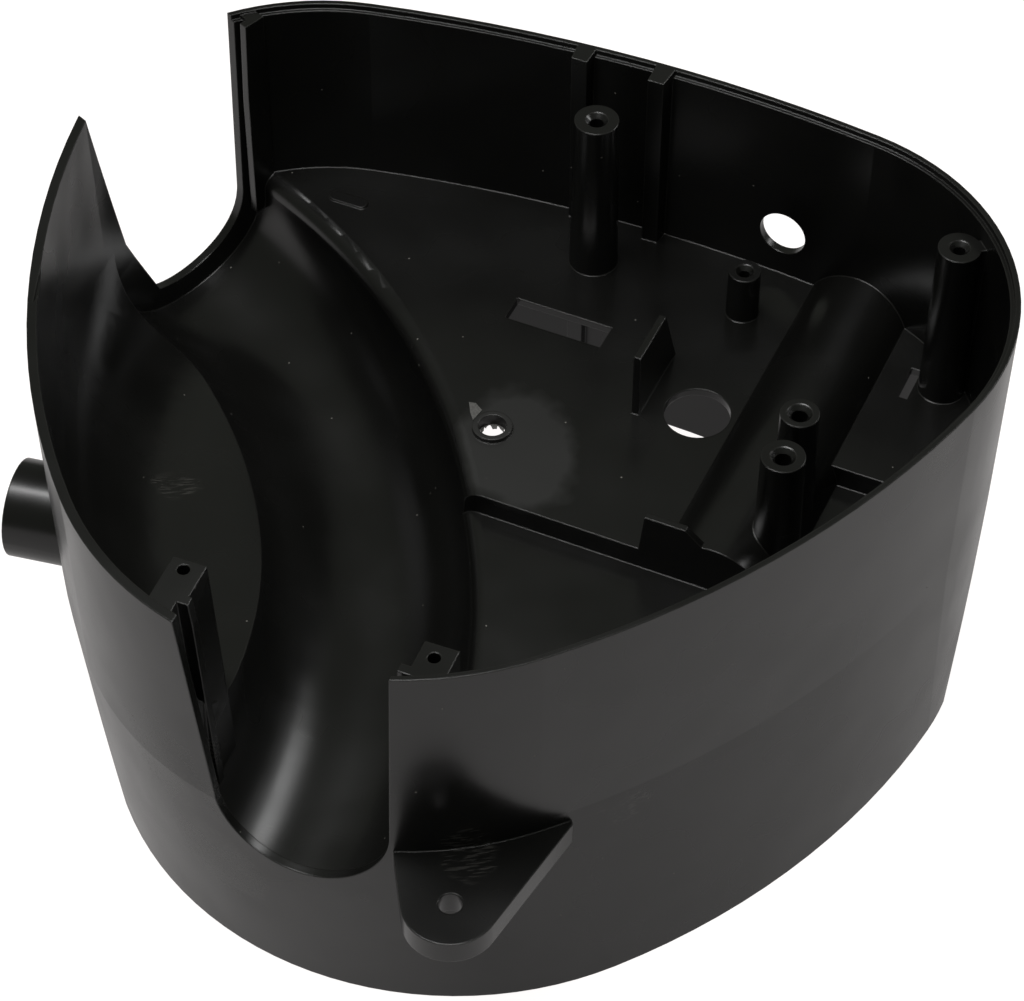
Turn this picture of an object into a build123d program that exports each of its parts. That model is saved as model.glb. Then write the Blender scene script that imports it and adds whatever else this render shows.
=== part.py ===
"""Open moulded plastic housing: one egg-shaped tray, moulded in one piece.

A wall of even thickness runs round an egg-shaped outline, wide at one end and narrow at the nose.
A web inside it makes the floor of the tray and stays open underneath. A round-bottomed channel
curves across the wide end, from a notch in the front wall to one in the back wall, and a sloping
dish lies between it and the wide end. The nose half carries the screw bosses, a cable window, a
cable hole, a hub and a half-round ridge over a shaft tunnel.

Millimetres, +Z up, +X towards the nose. The model is laid out from the middle of the wide end, on
the base plane, and moved at the end so that the origin is the middle of the part's footprint.
"""
from build123d import *
from math import acos, atan2, cos, degrees, radians, sin, tan
import os

# ---- driving dimensions -------------------------------------------------------------------------
height = 200.0  # base to rim
belt_height = 104.0  # parting line round the outside, where the draft changes
wall = 3.8
web = 3.6

# Outline at the rim. Each side runs through four arcs that meet in tangents:
# (end radius, half angle of the end, corner radius, flank radius, nose radius)
rim_length = 379.7
rim_back = (360.5, 20.8, 98.8, 642.0, 101.0)
rim_front = (327.6, 13.9, 133.0, 400.0, 105.8)
belt_draft = 2.0  # inset of the belt from the rim

# Outline at the base, with its wide end and its nose cut flat
base_start = 9.8
base_length = 364.0
base_back = (345.0, 20.8, 100.0, 700.0, 95.0)
base_front = (273.0, 14.2, 144.6, 316.8, 107.6)
end_flat_x = 17.5  # flat of the wide end, at the base
end_flat_lean = 8.4  # degrees from upright
nose_flat_x = 359.5
nose_flat_lean = 8.0
rebate = (1.6, 2.5)  # width and depth of the ledge round the inside of the rim

# Floor levels
plateau = 112.0  # main floor, at the nose half
low_floor = 102.0  # sunk floor along the front
dish_back = 66.0  # sloping dish, where it meets the back wall
dish_slope = 12.0  # degrees, rising towards the front
dish_back_y = 158.0
dish_blend = 45.0  # radius that joins the dish to the wall

# Channel: a round-bottomed trough bent about an upright axis outside the wide end
bend_x, bend_y = -176.5, -19.0
bend_radius = 299.0
channel_radius = 41.0
channel_height = 105.0  # centre of its round bottom
channel_lip = 6.8  # radius between its nose-side wall and the floor

# Notches where the channel leaves through the walls
notch_radius = 34.0
notch_height = 108.0  # centre of the round bottom of a notch
notch_edge = 37.0  # nose-side edge of a notch at the rim, from the channel's middle
front_far_edge = 44.4  # wide-end edges of the two notches at the rim
back_far_edge = 49.2
front_angle = -28.6  # where the channel crosses the front wall, about the bend
back_angle = 38.3
notch_reach = 8.0  # degrees either side of the wall that the notch cut covers
back_corner = -12.0  # foot of the straight edge of the back notch, from the channel's middle
back_corner_height = 72.0
back_knee = -31.0
back_knee_height = 116.0

# The nose half is laid out on its own square grid, turned about the layout origin
grid_turn = -31.5
step_v = 75.0  # step down to the low floor
nose_step_v = 148.0  # the same beyond the ridge
ridge_u = 252.0
ridge_radius = 25.0
ridge_height = 100.0  # axis of the ridge and of the shaft tunnel below it

# Sliding-panel guides beside the notches: lip of the wall, a groove, a thin tab, then a block.
# Each is (angle, +1 if inwards is counter-clockwise, side, edge of the tab at its top, block's
# step back from it, far side, groove from, groove to, reach, top)
guide_depth = 5.0  # of the groove, behind the edge of the tab
guide_tab = 4.0  # thickness
guide_foot = 96.0
guide_lean = 5.0  # what the edge of a wide-end guide gains from its foot to its top
guides = (
    (front_angle, 1, -1, 43.2, 2.0, 58.5, 2.6, 10.3, 29.5, 196.0),
    (front_angle, 1, 1, 36.5, 3.8, 53.5, 4.2, 9.6, 26.0, 196.0),
    (back_angle, -1, -1, 49.5, 0.0, 62.0, 10.2, 18.4, 22.8, 200.0),
    (back_angle, -1, 1, 35.4, 0.0, 46.5, 4.3, 9.8, 13.4, 199.0),
)
post_screw_radius = 2.4
post_screw_depth = 22.0
post_screws = ((front_angle, 1, -52.4, 25.0, 196.0), (front_angle, 1, 46.3, 19.9, 196.0))

# Screw bosses on the grid: (u, v, top, radius at the top, screw hole radius)
bosses = (
    (139.5, 218.5, 190.0, 9.2, 2.9),
    (208.5, 215.5, 135.0, 6.7, 2.1),
    (299.2, 207.8, 190.0, 8.6, 2.4),
    (266.5, 123.8, 162.0, 7.8, 3.2),
    (269.6, 98.0, 164.0, 8.7, 3.2),
)
boss_draft = 0.8  # degrees
boss_screw_depth = 26.0
boss_sink_angle = 90.0
boss_sink = 1.8  # how much wider than the hole the countersink is
nose_boss = bosses[2]  # tied to the nose wall by a web
nose_boss_web = (27.0, 6.0)  # reach from the boss, and thickness

# Columns in the back wall, base to rim, either side of the tall boss
column_spread = (13.5, 20.5)  # inner face, from the tall boss's u
column_root = (12.0, 25.0)  # the same at the root
column_face_v = 239.0
column_root_v = 289.0  # past the back wall

# Features of the plateau, on the grid
hub_u, hub_v = 141.9, 110.5
hub_radius = 8.2
hub_bore_radius = 5.8
hub_height = 2.0
cable_hole_u, cable_hole_v = 214.0, 152.8
cable_hole_radius = 13.7
window_u, window_v = 141.5, 177.4
window_size = (43.0, 12.5)
plate_u = 191.2
plate_v = (142.0, 168.5, 181.0)  # front, back of the top edge, back of the foot
plate_thickness = 3.0
plate_height = 32.0
slot_u, slot_v = 286.6, 204.2
slot_size = (4.4, 17.6)
button_u, button_v = 28.7, 208.8
button_size = (18.0, 6.0)
button_height = 0.8
screen_u = (221.0, 223.0, 240.0, 261.0)  # raised part of the step wall: foot, top, top, foot
screen_thickness = 3.0
screen_top = 131.0

# Gland hole through the back wall, level and square to the grid
gland_u = cable_hole_u
gland_height = 133.6
gland_radius = 10.3

# Spigot on the wide end, level, at the belt
spigot_y = 6.0
spigot_height = 101.0
spigot_turn = 158.3  # the way it points, in degrees from the nose direction
spigot_radius = 20.0
spigot_bore_radius = 16.5
spigot_length = 13.8  # from the wall's middle outwards
spigot_root = 11.5  # from the wall's middle inwards

# Curved gap in the foot of the wall, between the spigot and the back: plan of its outline
gap_outline = ((3.0, 24.0), (6.2, 42.5), (10.2, 48.0), (15.2, 45.7), (25.2, 42.6), (17.6, 38.8),
               (11.5, 39.4), (6.0, 31.0))

# Lug on the front wall, beside the notch
lug_x, lug_y = 136.6, -201.9
lug_radius = 18.2
lug_top = 99.0
lug_thickness = 10.5
lug_bore_radius = 4.5
lug_reach = 185.5  # where its slanting side meets the wall
lug_root = 29.9  # from its bore to the line it grows from, inside the wall


def polar(x, y, radius, angle):
    """Point at a distance and an angle in degrees from x, y."""
    return (x + radius * cos(radians(angle)), y + radius * sin(radians(angle)))


def side_arcs(side, start, length, inset, mirror_sign):
    """Centre, radius, first angle and turn of the four arcs along one side of the outline."""
    end_r, end_turn, corner_r, flank_r, nose_r = side
    end_c = (start + end_r, 0.0)
    corner_c = polar(*end_c, end_r - corner_r, 180.0 - end_turn)
    nose_c = (start + length - nose_r, 0.0)
    # The flank's centre lies where it can touch both the corner arc and the nose arc
    dx, dy = nose_c[0] - corner_c[0], nose_c[1] - corner_c[1]
    gap = (dx**2 + dy**2) ** 0.5
    to_corner, to_nose = flank_r - corner_r, flank_r - nose_r
    swing = degrees(acos((to_corner**2 + gap**2 - to_nose**2) / (2 * to_corner * gap)))
    flank_c = polar(*corner_c, to_corner, degrees(atan2(dy, dx)) - swing)
    first = degrees(atan2(corner_c[1] - flank_c[1], corner_c[0] - flank_c[0]))
    last = degrees(atan2(nose_c[1] - flank_c[1], nose_c[0] - flank_c[0]))
    angles = (180.0, 180.0 - end_turn, first, last, 0.0)
    centres = (end_c, corner_c, flank_c, nose_c)
    radii = (end_r, corner_r, flank_r, nose_r)
    return [
        ((c[0], mirror_sign * c[1]), r - inset, mirror_sign * a, mirror_sign * (b - a))
        for c, r, a, b in zip(centres, radii, angles, angles[1:])
    ]


def outline(back, front, start, length, inset):
    """Egg-shaped face, drawn from its middle at the wide end along the back and home by the front."""
    with BuildSketch(mode=Mode.PRIVATE) as egg:
        with BuildLine():
            for centre, radius, angle, turn in side_arcs(back, start, length, inset, 1):
                CenterArc(centre, radius, angle, turn)
            for centre, radius, angle, turn in side_arcs(front, start, length, inset, -1):
                CenterArc(centre, radius, angle, turn)
        make_face()
    return egg.sketch


def body_form(inset):
    """Solid of the whole outside, or of the space inside the wall when inset by the wall."""
    with BuildPart() as form:
        with BuildSketch(Plane.XY):
            add(outline(base_back, base_front, base_start, base_length, inset))
        with BuildSketch(Plane.XY.offset(belt_height)):
            add(outline(rim_back, rim_front, 0.0, rim_length, belt_draft + inset))
        with BuildSketch(Plane.XY.offset(height)):
            add(outline(rim_back, rim_front, 0.0, rim_length, inset))
        loft(ruled=True)
        # Flats below the belt, at the wide end and at the nose
        flat_x = end_flat_x + inset
        nose_x = nose_flat_x - inset
        end_reach = belt_height * tan(radians(end_flat_lean))
        nose_reach = belt_height * tan(radians(nose_flat_lean))
        with BuildSketch(Plane.XZ):
            Polygon((flat_x, 0), (flat_x - end_reach, belt_height), (-rim_length, belt_height),
                    (-rim_length, 0), align=None)
            Polygon((nose_x, 0), (nose_x + nose_reach, belt_height), (2 * rim_length, belt_height),
                    (2 * rim_length, 0), align=None)
        extrude(amount=rim_length, both=True, mode=Mode.SUBTRACT)
    return form.part


# ---- planes the features are drawn on -----------------------------------------------------------
def grid_plane(z):
    """Level plane of the turned grid that the nose half is laid out on."""
    return Plane(origin=(0, 0, z), x_dir=polar(0, 0, 1, grid_turn) + (0,), z_dir=(0, 0, 1))


def bend_plane(angle):
    """Upright plane through the bend's axis: x is the distance from it, y is the height."""
    across = polar(0, 0, 1, angle - 90.0) + (0,)
    return Plane(origin=(bend_x, bend_y, 0), x_dir=polar(0, 0, 1, angle) + (0,), z_dir=across)


def wall_plane(angle, inward, z):
    """Level plane where the channel's middle crosses a wall: x away from the bend, y inwards."""
    origin = polar(bend_x, bend_y, bend_radius, angle) + (z,)
    return Plane(origin=origin, x_dir=polar(0, 0, 1, angle) + (0,), z_dir=(0, 0, inward))


bend_axis = Axis((bend_x, bend_y, 0), (0, 0, 1))


# ---- floor web ----------------------------------------------------------------------------------
def trough(depth, level):
    """Space of the channel grown by a depth, with its nose-side edge rounded into a floor level."""
    radius = channel_radius + depth
    lip = channel_lip - depth
    with BuildPart() as space:
        with BuildSketch(bend_plane(0)) as profile:
            with Locations((bend_radius, channel_height)):
                Circle(radius)
                Rectangle(2 * radius, height, align=(Align.CENTER, Align.MIN))
            with Locations((bend_radius, level - depth)):
                Rectangle(radius + 2 * channel_lip, height, align=(Align.MIN, Align.MIN))
            edge = Vector(bend_radius + radius, level - depth, 0)
            fillet(profile.vertices().sort_by_distance(edge)[0], lip)
        revolve(axis=bend_axis)
    return space.part


def bowl(depth):
    """Space over the dish, grown by a depth: the wall curves down into the sloping plane."""
    drop = depth / cos(radians(dish_slope))
    rise = tan(radians(dish_slope))
    far = 2 * rim_length
    foot_inset = wall - depth + belt_draft * height / (height - belt_height)
    with BuildPart() as space:
        with BuildSketch(Plane.XY):
            add(outline(rim_back, rim_front, 0.0, rim_length, foot_inset))
        with BuildSketch(Plane.XY.offset(height)):
            add(outline(rim_back, rim_front, 0.0, rim_length, wall - depth))
        loft(ruled=True)
        with BuildSketch(Plane.YZ):
            Polygon((-far, -height), (far, -height),
                    (far, dish_back - drop - rise * (far - dish_back_y)),
                    (-far, dish_back - drop + rise * (far + dish_back_y)), align=None)
        extrude(amount=far, both=True, mode=Mode.SUBTRACT)
        fillet(space.faces().sort_by(Axis.Z)[0].edges(), dish_blend + depth)
    return space.part


def floor_form(depth):
    """Solid whose top is the floor of the tray, sunk everywhere by a depth measured square to it."""
    far = 2 * rim_length
    channel = trough(depth, plateau)
    with BuildPart() as low_side:
        with BuildSketch(grid_plane(0)):
            with Locations((ridge_u, step_v + depth)):
                Rectangle(2 * far, far, align=(Align.CENTER, Align.MAX))
            with Locations((ridge_u, nose_step_v + depth)):
                Rectangle(far, far, align=(Align.MIN, Align.MAX))
        extrude(amount=height)
    with BuildPart() as low_channel:
        add(trough(depth, low_floor))
        add(low_side.part, mode=Mode.INTERSECT)
    with BuildPart() as nose_half:
        with BuildSketch(Plane.XY):
            Rectangle(far, far, align=(Align.MIN, Align.CENTER))
        extrude(amount=plateau - depth)
        with Locations((0, 0, low_floor - depth)):
            add(low_side.part, mode=Mode.SUBTRACT)
        # Half-round ridge, closed at the step
        with BuildSketch(Plane(origin=grid_plane(ridge_height).from_local_coords(
                Vector(ridge_u, step_v + depth, 0)),
                x_dir=grid_plane(0).x_dir, z_dir=grid_plane(0).y_dir)):
            Circle(ridge_radius - depth)
        extrude(amount=far / 2)
        add(channel, mode=Mode.SUBTRACT)
        add(low_channel.part, mode=Mode.SUBTRACT)
        with BuildSketch(Plane(origin=(bend_x, bend_y, 0))):
            Circle(bend_radius)
        extrude(amount=height, mode=Mode.SUBTRACT)
    with BuildPart() as wide_half:
        with BuildSketch(Plane(origin=(bend_x, bend_y, 0))):
            Circle(bend_radius)
        extrude(amount=height)
        add(bowl(depth), mode=Mode.SUBTRACT)
        add(channel, mode=Mode.SUBTRACT)
    with BuildPart() as form:
        add(nose_half.part)
        add(wide_half.part)
    return form.part


outside = body_form(0.0)
with BuildPart() as inside:
    add(body_form(wall))
    with BuildSketch(Plane.XY.offset(height - rebate[1])):
        add(outline(rim_back, rim_front, 0.0, rim_length, wall - rebate[0]))
    extrude(amount=2 * rebate[1])
cavity = inside.part
floor_top = floor_form(0.0)
floor_under = floor_form(web)


# ---- sliding-panel guides beside the notches ----------------------------------------------------
with BuildPart() as panel_guides:
    for angle, turning, side, edge, set_back, far, groove_from, groove_to, reach, top in guides:
        lean = guide_lean if side < 0 else 0.0
        for level, shift in ((guide_foot, lean), (top, 0.0)):
            with BuildSketch(wall_plane(angle, turning, level)):
                tab = side * (edge - shift)
                face = side * (edge + set_back - shift)
                tab_end = groove_to + guide_tab
                Polygon((tab, 0), (side * far, 0), (side * far, reach), (face, reach),
                        (face, tab_end), (tab, tab_end), align=None)
        loft(ruled=True)
    for angle, turning, side, edge, set_back, far, groove_from, groove_to, reach, top in guides:
        lean = guide_lean if side < 0 else 0.0
        for level, shift in ((guide_foot, lean), (top, 0.0)):
            with BuildSketch(wall_plane(angle, turning, level)):
                near = side * (edge - shift - wall)
                end = side * (edge - shift + guide_depth)
                Polygon((near, groove_from), (end, groove_from), (end, groove_to),
                        (near, groove_to), align=None)
        loft(ruled=True, mode=Mode.SUBTRACT)
    for angle, turning, radial, inwards, top in post_screws:
        with Locations(wall_plane(angle, turning, top)):
            with Locations((radial, inwards)):
                Hole(post_screw_radius, post_screw_depth)
    add(cavity, mode=Mode.INTERSECT)


# ---- notches through the front and back walls ---------------------------------------------------
def notch_face(plane, far_edge, corner):
    """Face of a notch on an upright plane of the bend; the back one ends in a straight slope."""
    right = bend_radius + notch_edge
    top = height + wall
    lean_top = bend_radius - far_edge
    with BuildSketch(plane) as face:
        with Locations((bend_radius, notch_height)):
            Circle(notch_radius)
        Polygon((lean_top, top), (right, top), (bend_radius + notch_radius, notch_height),
                (bend_radius - notch_radius, notch_height), align=None)
        if corner:
            foot = bend_radius + back_corner
            knee = bend_radius + back_knee
            Polygon((lean_top - wall, 0), (foot, 0), (foot, back_corner_height),
                    (knee, back_knee_height), (lean_top, top), (lean_top - wall, top),
                    align=None, mode=Mode.SUBTRACT)
            Polygon((lean_top - wall, 0), (bend_radius, 0), (bend_radius, back_corner_height),
                    (lean_top - wall, back_corner_height), align=None, mode=Mode.SUBTRACT)
    return face.sketch


with BuildPart() as notches:
    for angle, far_edge, corner in (
            (front_angle, front_far_edge, False), (back_angle, back_far_edge, True)):
        add(notch_face(bend_plane(angle - notch_reach), far_edge, corner))
        revolve(axis=bend_axis, revolution_arc=2 * notch_reach)


# ---- columns, bosses and small features that stand on the floor ---------------------------------
with BuildPart() as columns:
    with BuildSketch(grid_plane(0)):
        for mirror_sign in (-1, 1):
            inner = [bosses[0][0] + mirror_sign * w for w in column_spread]
            root = [bosses[0][0] + mirror_sign * w for w in column_root]
            Polygon((root[0], column_root_v), (inner[0], column_face_v),
                    (inner[1], column_face_v), (root[1], column_root_v), align=None)
    extrude(amount=height)
    add(cavity, mode=Mode.INTERSECT)

with BuildPart() as boss_set:
    for u, v, top, radius, screw_radius in bosses:
        with BuildSketch(grid_plane(top)):
            with Locations((u, v)):
                Circle(radius)
        extrude(amount=plateau - web - top, taper=-boss_draft)
    # Web that ties the nose boss to the nose wall
    u, v, top, radius, screw_radius = nose_boss
    with BuildSketch(grid_plane(top)):
        with Locations((u, v)):
            with Locations(Rotation(0, 0, -grid_turn)):
                Rectangle(*nose_boss_web, align=(Align.MIN, Align.CENTER))
    extrude(amount=plateau - web - top)
    add(cavity, mode=Mode.INTERSECT)
    for u, v, top, radius, screw_radius in bosses:
        with Locations(grid_plane(top)):
            with Locations((u, v)):
                CounterSinkHole(screw_radius, screw_radius + boss_sink,
                                min(boss_screw_depth, top - plateau), boss_sink_angle)

with BuildPart() as floor_features:
    # Upright plate, shorter along its top
    with BuildSketch(Plane(origin=grid_plane(plateau).from_local_coords(Vector(plate_u, 0, 0)),
                           x_dir=grid_plane(0).y_dir, z_dir=grid_plane(0).x_dir)):
        Polygon((plate_v[0], -web), (plate_v[2], -web), (plate_v[2], 0),
                (plate_v[1], plate_height), (plate_v[0], plate_height), align=None)
    extrude(amount=plate_thickness / 2, both=True)
    # Raised part of the step wall, in front of the ridge
    with BuildSketch(Plane(origin=grid_plane(0).from_local_coords(Vector(0, step_v, 0)),
                           x_dir=grid_plane(0).x_dir, z_dir=-grid_plane(0).y_dir)):
        foot = low_floor - web
        Polygon((screen_u[0], foot), (screen_u[3], foot), (screen_u[3], plateau),
                (screen_u[2], screen_top), (screen_u[1], screen_top), (screen_u[0], plateau),
                align=None)
    extrude(amount=-screen_thickness)
    with BuildSketch(grid_plane(plateau - web)):
        with Locations((hub_u, hub_v)):
            Circle(hub_radius)
    extrude(amount=web + hub_height)
    with BuildSketch(grid_plane(plateau - web)):
        with Locations((button_u, button_v)):
            SlotOverall(*button_size)
    extrude(amount=web + button_height)


# ---- spigot and lug -----------------------------------------------------------------------------
def spigot_plane():
    """Plane square to the spigot at its open end, looking outwards."""
    tip = polar(0.0, spigot_y, spigot_length, spigot_turn)
    return Plane(origin=tip + (spigot_height,), x_dir=polar(0, 0, 1, spigot_turn + 90.0) + (0,),
                 z_dir=polar(0, 0, 1, spigot_turn) + (0,))


with BuildPart() as spigot_tube:
    with BuildSketch(spigot_plane()):
        Circle(spigot_radius)
    extrude(amount=-(spigot_length + spigot_root))


def lug_face():
    """Outline of the lug: round end, one side square to the wall, the other slanting back to it."""
    run_x, run_y = lug_reach - lug_x, lug_root
    swing = degrees(acos(lug_radius / (run_x**2 + run_y**2) ** 0.5))
    touch = polar(lug_x, lug_y, lug_radius, degrees(atan2(run_y, run_x)) - swing)
    with BuildSketch(mode=Mode.PRIVATE) as face:
        with Locations((lug_x, lug_y)):
            Circle(lug_radius)
        Polygon((lug_x - lug_radius, lug_y), touch, (lug_reach, lug_y + lug_root),
                (lug_reach, lug_y + lug_root + 2 * wall), (lug_x - lug_radius, lug_y + lug_root + 2 * wall),
                align=None)
    return face.sketch


with BuildPart() as lug:
    with BuildSketch(Plane.XY.offset(lug_top)):
        add(lug_face())
    extrude(amount=-lug_thickness)
    with Locations(Plane.XY.offset(lug_top)):
        with Locations((lug_x, lug_y)):
            Hole(lug_bore_radius, lug_thickness)


# ---- the moulding in one piece ------------------------------------------------------------------
with BuildPart() as tray_space:
    add(cavity)
    add(floor_top, mode=Mode.SUBTRACT)
    for standing in (panel_guides, columns, boss_set, floor_features):
        add(standing.part, mode=Mode.SUBTRACT)

with BuildPart() as under_space:
    add(cavity)
    add(floor_under, mode=Mode.INTERSECT)
    add(columns.part, mode=Mode.SUBTRACT)

with BuildPart() as blend_gap:
    with BuildSketch(Plane.XY):
        Polygon(*gap_outline, align=None)
    extrude(amount=height)
    add(cavity, mode=Mode.INTERSECT)

with BuildPart() as openings:
    with BuildSketch(spigot_plane()):
        Circle(spigot_bore_radius)
    extrude(amount=-(spigot_length + spigot_root))
    with BuildSketch(grid_plane(low_floor - web)):
        with Locations((cable_hole_u, cable_hole_v)):
            Circle(cable_hole_radius)
        with Locations((hub_u, hub_v)):
            Circle(hub_bore_radius)
        with Locations((window_u, window_v)):
            Rectangle(*window_size)
        with Locations((slot_u, slot_v)):
            Rectangle(*slot_size)
    extrude(amount=height - low_floor)
    with BuildSketch(Plane(origin=grid_plane(gland_height).from_local_coords(
            Vector(gland_u, column_face_v, 0)),
            x_dir=grid_plane(0).x_dir, z_dir=grid_plane(0).y_dir)):
        Circle(gland_radius)
    extrude(amount=column_root_v - column_face_v)

with BuildPart() as layout:
    add(outside)
    add(lug.part)
    add(spigot_tube.part)
    for space in (tray_space, under_space, blend_gap, notches, openings):
        add(space.part, mode=Mode.SUBTRACT)

footprint = layout.part.bounding_box().center()
with BuildPart() as housing:
    with Locations((-footprint.X, -footprint.Y, 0)):
        add(layout.part)

housing.part.label = "housing"
os.makedirs("parts", exist_ok=True)
export_step(housing.part, "parts/housing.step")
print("layout origin at", round(-footprint.X, 3), round(-footprint.Y, 3))
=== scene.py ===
import math
import random

import bpy
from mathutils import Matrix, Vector


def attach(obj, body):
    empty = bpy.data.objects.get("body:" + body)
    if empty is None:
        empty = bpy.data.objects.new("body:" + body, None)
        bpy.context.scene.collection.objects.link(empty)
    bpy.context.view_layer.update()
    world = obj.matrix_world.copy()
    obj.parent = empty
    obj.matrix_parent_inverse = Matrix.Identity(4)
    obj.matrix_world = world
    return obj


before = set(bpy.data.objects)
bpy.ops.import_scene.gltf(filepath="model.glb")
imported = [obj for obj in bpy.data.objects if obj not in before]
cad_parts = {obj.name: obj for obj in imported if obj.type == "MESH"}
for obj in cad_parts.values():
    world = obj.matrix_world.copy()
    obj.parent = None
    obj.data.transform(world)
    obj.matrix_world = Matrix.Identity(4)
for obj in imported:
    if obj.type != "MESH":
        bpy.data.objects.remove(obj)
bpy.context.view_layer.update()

bl_info = {
    "name": "Moulded Housing",
    "version": (1, 0, 0),
    "blender": (4, 5, 0),
    "location": "3D View > Sidebar > Housing",
    "description": "Dresses the moulded plastic housing and sets its stage",
    "category": "Object",
}


def linear(colour):
    """Linear red, green and blue of an sRGB hex value."""
    shares = [int(colour[i:i + 2], 16) / 255 for i in (1, 3, 5)]
    return [c / 12.92 if c <= 0.04045 else ((c + 0.055) / 1.055) ** 2.4 for c in shares]


# ---- places on the housing, in metres -----------------------------------------------------------
MM = 0.001
HUB = Vector((-1.04, 34.25, 114.0)) * MM  # middle of the hub's bore, at its mouth
HUB_HEIGHT = 2.0 * MM  # over the tray's floor
HUB_BORE = 5.8 * MM
HUB_FOOT = 108.4 * MM  # underside of the floor
# Corners of the chip beside the hub, anticlockwise, in millimetres
FLAKE = ((-8.9, 44.0), (-8.3, 39.6), (-4.0, 44.7), (-6.0, 48.9), (-8.7, 49.9))
BLUSH = Vector((7.5, 22.0, 112.0)) * MM  # middle of the gate blush on the floor
BLUSH_SPAN = Vector((27.0, 37.0, 6.0)) * MM
# Rubbed places: middle, and how far the rubbing reaches
SCUFFS = (
    (Vector((-130.0, 35.0, 95.0)) * MM, 11.0 * MM),
    (Vector((-142.0, -116.0, 108.0)) * MM, 26.0 * MM),
    (Vector((-128.0, -128.0, 60.0)) * MM, 24.0 * MM),
    (Vector((155.0, -73.0, 186.0)) * MM, 12.0 * MM),
    (Vector((-34.0, -166.0, 99.0)) * MM, 13.0 * MM),
    (Vector((30.0, -160.0, 96.0)) * MM, 16.0 * MM),
)

# ---- fixed values of the look -------------------------------------------------------------------
ABS_IOR = 1.53
SCUFF_RAGGED = 1.2  # how much the outline of a rubbed place wanders
BLUSH_RAGGED = 0.5
CLEAR_INSIDE = 0.75  # share of a place's reach where it is at full strength
WOBBLE_SIZE = 14 * MM
CLOUD_SIZE = 60 * MM
WAVE_SIZE = 35 * MM
WAVE_DEPTH = 0.4 * MM
GRAIN_DEPTH = 0.03 * MM
FIBRE_SIZE = 0.8 * MM
FIBRE_DEPTH = 0.15 * MM
SCRATCH_LENGTH = 7 * MM
SCRATCH_SLIMNESS = 7.0  # length of a scratch over its width
DUST_CELL = 9 * MM  # one speck at most in each cell
DUST_REACH = 0.04  # radius of a speck, as a share of the cell
DUST_CHANCE = 0.35
FLOOR_HALF = 30.0
FLOOR_GLOWING = 0.85  # share of glow in what the camera and the plastic see of the floor
FLASH_STEPS = 30
FLASH_START, FLASH_SWEEP = math.radians(10.0), math.radians(160.0)
FLASH_SEAT = 0.2 * MM  # how far the skin reaches into the bore's wall
# Lamps that point at the middle of the part: name, place, width, share of the power
LAMPS = (
    ("overhead", (-0.25, -0.05, 1.6), 0.8, 1.0),
    ("right_fill", (1.4, 0.3, 1.0), 0.6, 0.3),
)


# ---- sizes and colours a user would change ------------------------------------------------------
class HousingFinish(bpy.types.PropertyGroup):
    """Look of the moulded plastic."""
    plastic: bpy.props.FloatVectorProperty(
        name="Plastic", description="Colour of the plastic all the way through",
        subtype="COLOR", size=3, min=0.0, max=1.0, default=linear("#0A0A09"))
    blushed: bpy.props.FloatVectorProperty(
        name="Blushed plastic", description="Colour of the blush round the gate",
        subtype="COLOR", size=3, min=0.0, max=1.0, default=linear("#161615"))
    # This greyer colour is used in the rubbed places and is also painted along every rounded edge
    # as a highlight.
    worn_and_edge_highlight: bpy.props.FloatVectorProperty(
        name="Worn plastic and edge highlight", description="Greyer colour where the skin is rubbed, also painted along edges as a highlight",
        subtype="COLOR", size=3, min=0.0, max=1.0, default=linear("#2A2927"))
    dust: bpy.props.FloatVectorProperty(
        name="Dust", description="Colour of the dust on the skin",
        subtype="COLOR", size=3, min=0.0, max=1.0, default=linear("#5C5A55"))
    torn: bpy.props.FloatVectorProperty(
        name="Torn plastic", description="Pale colour of thin plastic that was torn",
        subtype="COLOR", size=3, min=0.0, max=1.0, default=linear("#5E5D5A"))
    roughness: bpy.props.FloatProperty(
        name="Roughness", description="Roughness of the clean moulded skin",
        min=0.0, max=1.0, default=0.25)
    grain: bpy.props.FloatProperty(
        name="Grain", description="Width of one grain of the etched mould surface",
        subtype="DISTANCE", unit="LENGTH", min=0.0002, max=0.01, default=0.0011)
    edge_radius: bpy.props.FloatProperty(
        name="Edge radius", description="Radius that the mould leaves on every edge",
        subtype="DISTANCE", unit="LENGTH", min=0.0, max=0.003, default=0.0009)


class HousingFlash(bpy.types.PropertyGroup):
    """Thin plastic that was left at the gate."""
    thickness: bpy.props.FloatProperty(
        name="Thickness", description="Thickness of the torn skin",
        subtype="DISTANCE", unit="LENGTH", min=0.0001, max=0.001, default=0.0003)
    reach: bpy.props.FloatProperty(
        name="Reach", description="How far the longest shred stands into the bore",
        subtype="DISTANCE", unit="LENGTH", min=0.0, max=0.006, default=0.0032)
    seed: bpy.props.IntProperty(
        name="Seed", description="Picks another torn edge", min=0, default=4)


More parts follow.
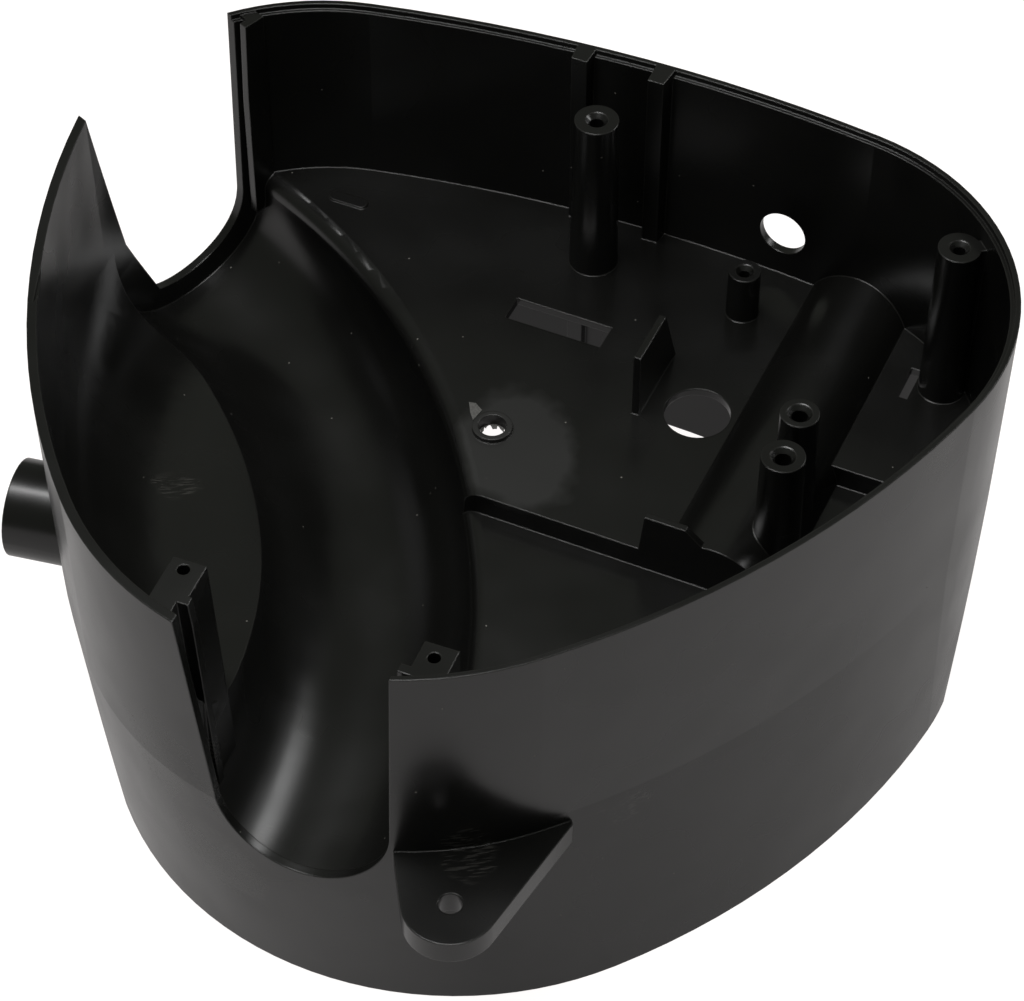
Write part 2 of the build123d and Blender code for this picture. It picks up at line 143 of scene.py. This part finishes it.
class HousingStage(bpy.types.PropertyGroup):
    """Camera, floor and lamps."""
    camera_place: bpy.props.FloatVectorProperty(
        name="Camera place", description="Where the camera stands",
        subtype="TRANSLATION", unit="LENGTH", size=3, default=(-0.11038, -0.90917, 1.1056))
    camera_aim: bpy.props.FloatVectorProperty(
        name="Camera aim", description="Direction that the camera looks in",
        subtype="DIRECTION", size=3, default=(0.0834, 0.6704, -0.7373))
    lens: bpy.props.FloatProperty(
        name="Lens", description="Focal length in millimetres on a 36 mm sensor",
        min=20.0, max=300.0, default=119.53)
    floor_colour: bpy.props.FloatVectorProperty(
        name="Floor", description="Colour of the floor",
        subtype="COLOR", size=3, min=0.0, max=1.0, default=linear("#FFFCFB"))
    floor_glow: bpy.props.FloatProperty(
        name="Floor glow", description="How bright the floor is where the plastic mirrors it",
        min=0.0, max=4.0, default=0.52)
    floor_white: bpy.props.FloatProperty(
        name="Floor white", description="What is added to the glow where the camera sees it",
        min=0.0, max=4.0, default=0.66)
    sky_colour: bpy.props.FloatVectorProperty(
        name="Sky", description="Colour of the room's soft light",
        subtype="COLOR", size=3, min=0.0, max=1.0, default=linear("#FAFFF0"))
    sky: bpy.props.FloatProperty(
        name="Sky strength", description="Strength of the room's soft light",
        min=0.0, max=2.0, default=0.14)
    soft_light: bpy.props.FloatProperty(
        name="Soft light", description="Power of the large lamp overhead, in watts",
        min=0.0, max=500.0, default=24.0)


# ---- shared helpers -----------------------------------------------------------------------------
def node(tree, kind, inputs=None, **settings):
    """Add a node, set its properties, and set or link its inputs."""
    made = tree.nodes.new(kind)
    for name, value in settings.items():
        setattr(made, name, value)
    for name, value in (inputs or {}).items():
        if isinstance(value, bpy.types.NodeSocket):
            tree.links.new(value, made.inputs[name])
        else:
            made.inputs[name].default_value = value
    return made


def new_material(name):
    """Material with an empty node tree."""
    made = bpy.data.materials.new(name)
    made.use_nodes = True
    made.node_tree.nodes.clear()
    return made


def extruded(name, outline, height, thickness):
    """Mesh object: a flat outline, anticlockwise, at a height and given a thickness upwards."""
    count = len(outline)
    corners = [(x, y, z) for z in (height, height + thickness) for x, y in outline]
    foot = [tuple(range(count - 1, -1, -1))]
    top = [tuple(range(count, 2 * count))]
    sides = [(k, (k + 1) % count, (k + 1) % count + count, k + count) for k in range(count)]
    mesh = bpy.data.meshes.new(name)
    mesh.from_pydata(corners, [], foot + top + sides)
    made = bpy.data.objects.new(name, mesh)
    bpy.context.scene.collection.objects.link(made)
    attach(made, "root")
    return made


# ---- what has happened to the plastic, each as a share from 0 to 1 ------------------------------
def near(tree, place, wobble, middle, span, ragged):
    """Share that falls from 1 inside an ellipsoid to 0 outside it, with a ragged outline."""
    offset = node(tree, "ShaderNodeVectorMath", {0: place, 1: middle}, operation="SUBTRACT")
    scaled = node(tree, "ShaderNodeVectorMath", {0: offset.outputs[0], 1: span},
                  operation="DIVIDE")
    reach = node(tree, "ShaderNodeVectorMath", {0: scaled.outputs[0]}, operation="LENGTH")
    pushed = node(tree, "ShaderNodeMath", {
        0: wobble, 1: ragged, 2: reach.outputs["Value"]}, operation="MULTIPLY_ADD")
    share = node(tree, "ShaderNodeMapRange", {
        "Value": pushed.outputs[0], "From Min": 1.0 + ragged / 2,
        "From Max": CLEAR_INSIDE + ragged / 2})
    return share.outputs["Result"]


def rubbed(tree, place, wobble):
    """Fine scratches, only in the scuffed places."""
    somewhere = 0.0
    for middle, reach in SCUFFS:
        here = near(tree, place, wobble, middle, (reach, reach, reach), SCUFF_RAGGED)
        somewhere = node(tree, "ShaderNodeMath", {0: somewhere, 1: here},
                         operation="MAXIMUM").outputs[0]
    # Scratches are 0.1 mm wide on the real skin; they are drawn at 0.5 mm to show at all
    stretched = node(tree, "ShaderNodeMapping", {
        "Vector": place, "Rotation": (0.4, 0.3, 0.9),
        "Scale": (1.0, SCRATCH_SLIMNESS, SCRATCH_SLIMNESS)})
    lines = node(tree, "ShaderNodeTexNoise", {
        "Vector": stretched.outputs[0], "Scale": 1.0 / SCRATCH_LENGTH, "Detail": 2.0})
    sharp = node(tree, "ShaderNodeMapRange", {
        "Value": lines.outputs["Fac"], "From Min": 0.50, "From Max": 0.68})
    both = node(tree, "ShaderNodeMath", {0: somewhere, 1: sharp.outputs["Result"]},
                operation="MULTIPLY")
    return both.outputs[0]


def dusty(tree, place):
    """Specks of dust, 0.7 mm wide at most."""
    cells = node(tree, "ShaderNodeTexVoronoi", {"Vector": place, "Scale": 1.0 / DUST_CELL})
    speck = node(tree, "ShaderNodeMath", {0: cells.outputs["Distance"], 1: DUST_REACH},
                 operation="LESS_THAN")
    tint = node(tree, "ShaderNodeSeparateColor", {"Color": cells.outputs["Color"]})
    some = node(tree, "ShaderNodeMath", {0: tint.outputs["Red"], 1: DUST_CHANCE},
                operation="LESS_THAN")
    both = node(tree, "ShaderNodeMath", {0: speck.outputs[0], 1: some.outputs[0]},
                operation="MULTIPLY")
    return both.outputs[0]


def edge_wear_and_highlight(tree, rounded):
    """Share that rises where the mould's edge radius bends the surface."""
    # The greyer colour mixed in by this share is a painted highlight along every rounded edge,
    # with a little edge wear.
    plain = node(tree, "ShaderNodeNewGeometry").outputs["Normal"]
    turn = node(tree, "ShaderNodeVectorMath", {0: plain, 1: rounded}, operation="DOT_PRODUCT")
    share = node(tree, "ShaderNodeMapRange", {
        "Value": turn.outputs["Value"], "From Min": 0.995, "From Max": 0.90, "To Max": 0.4})
    return share.outputs["Result"]


# ---- materials ----------------------------------------------------------------------------------
def moulded_abs(settings):
    """Black ABS from a lightly etched mould: a deep satin skin, blushed grey round its gate,
    rubbed in places, with a painted highlight and some wear along its edges, and specks of dust."""
    made = new_material("moulded_black_ABS")
    tree = made.node_tree
    place = node(tree, "ShaderNodeTexCoord").outputs["Object"]
    rounded = node(tree, "ShaderNodeBevel", {"Radius": settings.edge_radius}, samples=4)
    wobble = node(tree, "ShaderNodeTexNoise", {
        "Vector": place, "Scale": 1.0 / WOBBLE_SIZE, "Detail": 2.0}).outputs["Fac"]
    # Cloudy change of gloss, as the melt leaves it
    cloud = node(tree, "ShaderNodeTexNoise", {
        "Vector": place, "Scale": 1.0 / CLOUD_SIZE, "Detail": 2.0, "Roughness": 0.6})
    rough = node(tree, "ShaderNodeMapRange", {
        "Value": cloud.outputs["Fac"], "From Min": 0.3, "From Max": 0.7,
        "To Min": settings.roughness - 0.05, "To Max": settings.roughness + 0.06}
        ).outputs["Result"]
    colour = (*settings.plastic, 1.0)
    for share, tint, roughness in (
            (near(tree, place, wobble, BLUSH, BLUSH_SPAN, BLUSH_RAGGED), settings.blushed, 0.40),
            (rubbed(tree, place, wobble), settings.worn_and_edge_highlight, 0.30),
            # Painted highlight along the edges, with some wear: the greyer colour where the edge
            # radius bends the surface.
            (edge_wear_and_highlight(tree, rounded.outputs["Normal"]), settings.worn_and_edge_highlight, 0.35),
            (dusty(tree, place), settings.dust, 0.90)):
        colour = node(tree, "ShaderNodeMixRGB", {
            "Fac": share, "Color1": colour, "Color2": (*tint, 1.0)}).outputs["Color"]
        rough = node(tree, "ShaderNodeMix", {
            "Factor": share, "A": rough, "B": roughness}).outputs["Result"]
    # Walls wave by about a tenth of a millimetre where they cooled unevenly
    wave = node(tree, "ShaderNodeTexNoise", {
        "Vector": place, "Scale": 1.0 / WAVE_SIZE, "Detail": 1.0})
    waved = node(tree, "ShaderNodeBump", {
        "Strength": 0.8, "Distance": WAVE_DEPTH, "Height": wave.outputs["Fac"],
        "Normal": rounded.outputs["Normal"]})
    # The etch is 0.1 mm wide on the real skin; its grain is drawn coarser to show at all
    grain = node(tree, "ShaderNodeTexNoise", {
        "Vector": place, "Scale": 1.0 / settings.grain, "Detail": 1.0})
    etched = node(tree, "ShaderNodeBump", {
        "Strength": 0.15, "Distance": GRAIN_DEPTH, "Height": grain.outputs["Fac"],
        "Normal": waved.outputs["Normal"]})
    skin = node(tree, "ShaderNodeBsdfPrincipled", {
        "Base Color": colour, "Roughness": rough, "IOR": ABS_IOR,
        "Normal": etched.outputs["Normal"]})
    node(tree, "ShaderNodeOutputMaterial", {"Surface": skin.outputs["BSDF"]})
    return made


def torn_abs(settings):
    """The same ABS torn thin: paler and duller than the skin, with a fibrous surface."""
    made = new_material("torn_thin_ABS")
    tree = made.node_tree
    place = node(tree, "ShaderNodeTexCoord").outputs["Object"]
    fibre = node(tree, "ShaderNodeTexNoise", {
        "Vector": place, "Scale": 1.0 / FIBRE_SIZE, "Detail": 3.0})
    bump = node(tree, "ShaderNodeBump", {
        "Strength": 0.7, "Distance": FIBRE_DEPTH, "Height": fibre.outputs["Fac"]})
    colour = node(tree, "ShaderNodeMixRGB", {
        "Fac": fibre.outputs["Fac"], "Color1": (*settings.blushed, 1.0),
        "Color2": (*settings.torn, 1.0)})
    skin = node(tree, "ShaderNodeBsdfPrincipled", {
        "Base Color": colour.outputs["Color"], "Roughness": 0.5, "IOR": ABS_IOR,
        "Normal": bump.outputs["Normal"]})
    node(tree, "ShaderNodeOutputMaterial", {"Surface": skin.outputs["BSDF"]})
    return made


# ---- operators ----------------------------------------------------------------------------------
class HOUSING_OT_finish(bpy.types.Operator):
    """Give the housing its moulded plastic skin"""
    bl_idname = "housing.finish"
    bl_label = "Housing skin"

    def execute(self, context):
        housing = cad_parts["housing"]
        skin = moulded_abs(context.scene.housing_finish)
        housing.data.materials.clear()
        housing.data.materials.append(skin)
        return {"FINISHED"}


class HOUSING_OT_flash(bpy.types.Operator):
    """Add the torn skin left in the hub's bore, and the flake beside the hub"""
    bl_idname = "housing.flash"
    bl_label = "Flash at the gate"

    def execute(self, context):
        settings = context.scene.housing_flash
        torn = torn_abs(context.scene.housing_finish)
        for piece in (self.bore_skin(settings), self.flake(settings)):
            piece.data.materials.append(torn)
        return {"FINISHED"}

    def bore_skin(self, settings):
        """Torn half-moon across the far side of the bore's foot"""
        dice = random.Random(settings.seed)
        turns = [FLASH_START + FLASH_SWEEP * k / FLASH_STEPS for k in range(FLASH_STEPS + 1)]
        wall = [Vector((math.cos(turn), math.sin(turn))) * (HUB_BORE + FLASH_SEAT)
                for turn in turns]
        torn_edge = [Vector((corner.x, corner.y - settings.reach * dice.random()))
                     for corner in wall[-2:0:-1]]
        outline = [Vector(HUB[:2]) + corner for corner in wall + torn_edge]
        return extruded("hub_flash", outline, HUB_FOOT, settings.thickness)

    def flake(self, settings):
        """Chip that lies on the floor beside the hub"""
        outline = [Vector(corner) * MM for corner in FLAKE]
        return extruded("hub_flake", outline, HUB.z - HUB_HEIGHT, 2 * settings.thickness)


class HOUSING_OT_stage(bpy.types.Operator):
    """Set the camera, the pale floor and the soft studio light"""
    bl_idname = "housing.stage"
    bl_label = "Stage"

    def execute(self, context):
        scene = context.scene
        settings = scene.housing_stage
        self.add_camera(scene, settings)
        self.add_floor(scene, settings)
        self.add_sky(scene, settings)
        self.add_lamps(scene, settings)
        scene.view_settings.view_transform = "Standard"
        return {"FINISHED"}

    def add_camera(self, scene, settings):
        """Camera that looks down at the part from the front"""
        data = bpy.data.cameras.new("camera")
        data.lens = settings.lens
        data.clip_end = 100.0
        camera = bpy.data.objects.new("camera", data)
        camera.location = settings.camera_place
        camera.rotation_euler = Vector(settings.camera_aim).to_track_quat("-Z", "Y").to_euler()
        scene.collection.objects.link(camera)
        scene.camera = camera

    def add_floor(self, scene, settings):
        """Pale floor that the camera and the plastic see as white, with a faint shadow"""
        mesh = bpy.data.meshes.new("floor")
        corners = [(x * FLOOR_HALF, y * FLOOR_HALF, 0)
                   for x, y in ((-1, -1), (1, -1), (1, 1), (-1, 1))]
        mesh.from_pydata(corners, [], [(0, 1, 2, 3)])
        floor = bpy.data.objects.new("floor", mesh)
        scene.collection.objects.link(floor)
        paper = new_material("matt_white_paper")
        tree = paper.node_tree
        ray = node(tree, "ShaderNodeLightPath")
        seen = node(tree, "ShaderNodeMath", {
            0: ray.outputs["Is Camera Ray"], 1: ray.outputs["Is Glossy Ray"]},
            operation="MAXIMUM")
        share = node(tree, "ShaderNodeMath", {0: seen.outputs[0], 1: FLOOR_GLOWING},
                     operation="MULTIPLY")
        matt = node(tree, "ShaderNodeBsdfDiffuse", {"Color": (*settings.floor_colour, 1.0)})
        glow = node(tree, "ShaderNodeMath", {
            0: ray.outputs["Is Camera Ray"], 1: settings.floor_white, 2: settings.floor_glow},
            operation="MULTIPLY_ADD")
        white = node(tree, "ShaderNodeEmission", {
            "Color": (*settings.floor_colour, 1.0), "Strength": glow.outputs[0]})
        both = node(tree, "ShaderNodeMixShader", {
            0: share.outputs[0], 1: matt.outputs[0], 2: white.outputs[0]})
        node(tree, "ShaderNodeOutputMaterial", {"Surface": both.outputs[0]})
        mesh.materials.append(paper)

    def add_sky(self, scene, settings):
        """Dim room overhead, white where the camera sees it"""
        world = bpy.data.worlds.new("studio")
        world.use_nodes = True
        tree = world.node_tree
        tree.nodes.clear()
        ray = node(tree, "ShaderNodeLightPath")
        soft = node(tree, "ShaderNodeBackground", {
            "Color": (*settings.sky_colour, 1.0), "Strength": settings.sky})
        white = node(tree, "ShaderNodeBackground", {"Color": (1, 1, 1, 1), "Strength": 1.0})
        both = node(tree, "ShaderNodeMixShader", {
            0: ray.outputs["Is Camera Ray"], 1: soft.outputs[0], 2: white.outputs[0]})
        node(tree, "ShaderNodeOutputWorld", {"Surface": both.outputs[0]})
        scene.world = world

    def add_lamps(self, scene, settings):
        """Large soft lamps that shape the fillets with a highlight"""
        for name, place, size, share in LAMPS:
            data = bpy.data.lights.new(name, "AREA")
            data.shape = "SQUARE"
            data.size = size
            data.energy = settings.soft_light * share
            lamp = bpy.data.objects.new(name, data)
            lamp.location = place
            lamp.rotation_euler = (-Vector(place)).to_track_quat("-Z", "Y").to_euler()
            scene.collection.objects.link(lamp)


class HOUSING_PT_panel(bpy.types.Panel):
    """Sidebar panel with the housing's settings and steps"""
    bl_idname = "HOUSING_PT_panel"
    bl_label = "Housing"
    bl_space_type = "VIEW_3D"
    bl_region_type = "UI"
    bl_category = "Housing"

    def draw(self, context):
        for place in SETTINGS:
            box = self.layout.box()
            settings = getattr(context.scene, place)
            for name in settings.__annotations__:
                box.prop(settings, name)
        for step in STEPS:
            self.layout.operator(step.bl_idname)


SETTINGS = {"housing_finish": HousingFinish, "housing_flash": HousingFlash,
            "housing_stage": HousingStage}
STEPS = (HOUSING_OT_finish, HOUSING_OT_flash, HOUSING_OT_stage)
CLASSES = (*SETTINGS.values(), *STEPS, HOUSING_PT_panel)


def register():
    for cls in CLASSES:
        bpy.utils.register_class(cls)
    for place, settings in SETTINGS.items():
        setattr(bpy.types.Scene, place, bpy.props.PointerProperty(type=settings))


def unregister():
    for place in SETTINGS:
        delattr(bpy.types.Scene, place)
    for cls in reversed(CLASSES):
        bpy.utils.unregister_class(cls)


def main():
    register()
    bpy.ops.housing.finish()
    bpy.ops.housing.flash()
    bpy.ops.housing.stage()


if __name__ == "__main__":
    main()
